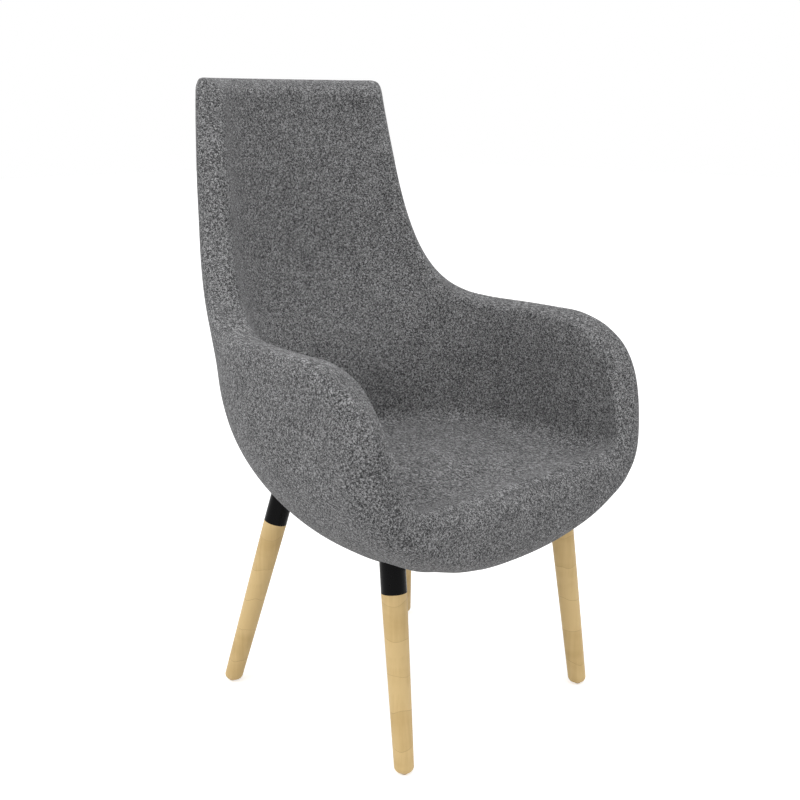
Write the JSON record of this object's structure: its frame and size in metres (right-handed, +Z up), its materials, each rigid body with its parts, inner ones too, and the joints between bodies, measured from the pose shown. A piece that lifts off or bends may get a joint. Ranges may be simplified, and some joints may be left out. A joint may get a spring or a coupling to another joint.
{
  "type": "high back lounge chair",
  "caption": "Upholstered tub lounge chair with a high back, arms that sweep down to the seat front, and tapered wooden legs in black collars.",
  "frame": {"origin": "floor level, under the middle of the chair's width and depth", "axes": "+Z up, -Y the way the sitter faces, +X to the sitter's left"},
  "size_m": [0.7044, 0.645, 1.1002],
  "materials": {
    "cover_felt": "grey melange wool felt",
    "foam": "moulded polyurethane foam",
    "insulator_felt": "pressed felt",
    "webbing": "elastic webbing",
    "leg_wood": "pale ash, clear matt lacquer",
    "collar_black": "black satin paint",
    "frame_steel": "primed steel tube",
    "plain_steel": "zinc plated",
    "glide_nylon": "tan nylon",
    "plate_black": "black moulded plastic"
  },
  "bodies": {
    "root": {"shell_cover": "cover_felt", "shell_foam": "foam", "seat_pad": "foam", "spring_insulator": "insulator_felt", "back_straps": "webbing", "front_left_leg": "leg_wood", "front_right_leg": "leg_wood", "rear_left_leg": "leg_wood", "rear_right_leg": "leg_wood", "front_left_socket": "collar_black", "front_right_socket": "collar_black", "rear_left_socket": "collar_black", "rear_right_socket": "collar_black", "front_rail": "frame_steel", "rear_rail": "frame_steel", "left_rail": "frame_steel", "right_rail": "frame_steel", "back_hoop": "frame_steel", "left_arm_tube": "frame_steel", "right_arm_tube": "frame_steel", "plate_bar": "frame_steel", "seat_springs": "plain_steel", "spring_clips": "plain_steel", "leg_studs": "plain_steel", "glide_nails": "plain_steel", "base_plate_screws": "plain_steel", "leg_glides": "glide_nylon", "base_plate": "plate_black"}
  },
  "joints": []
}
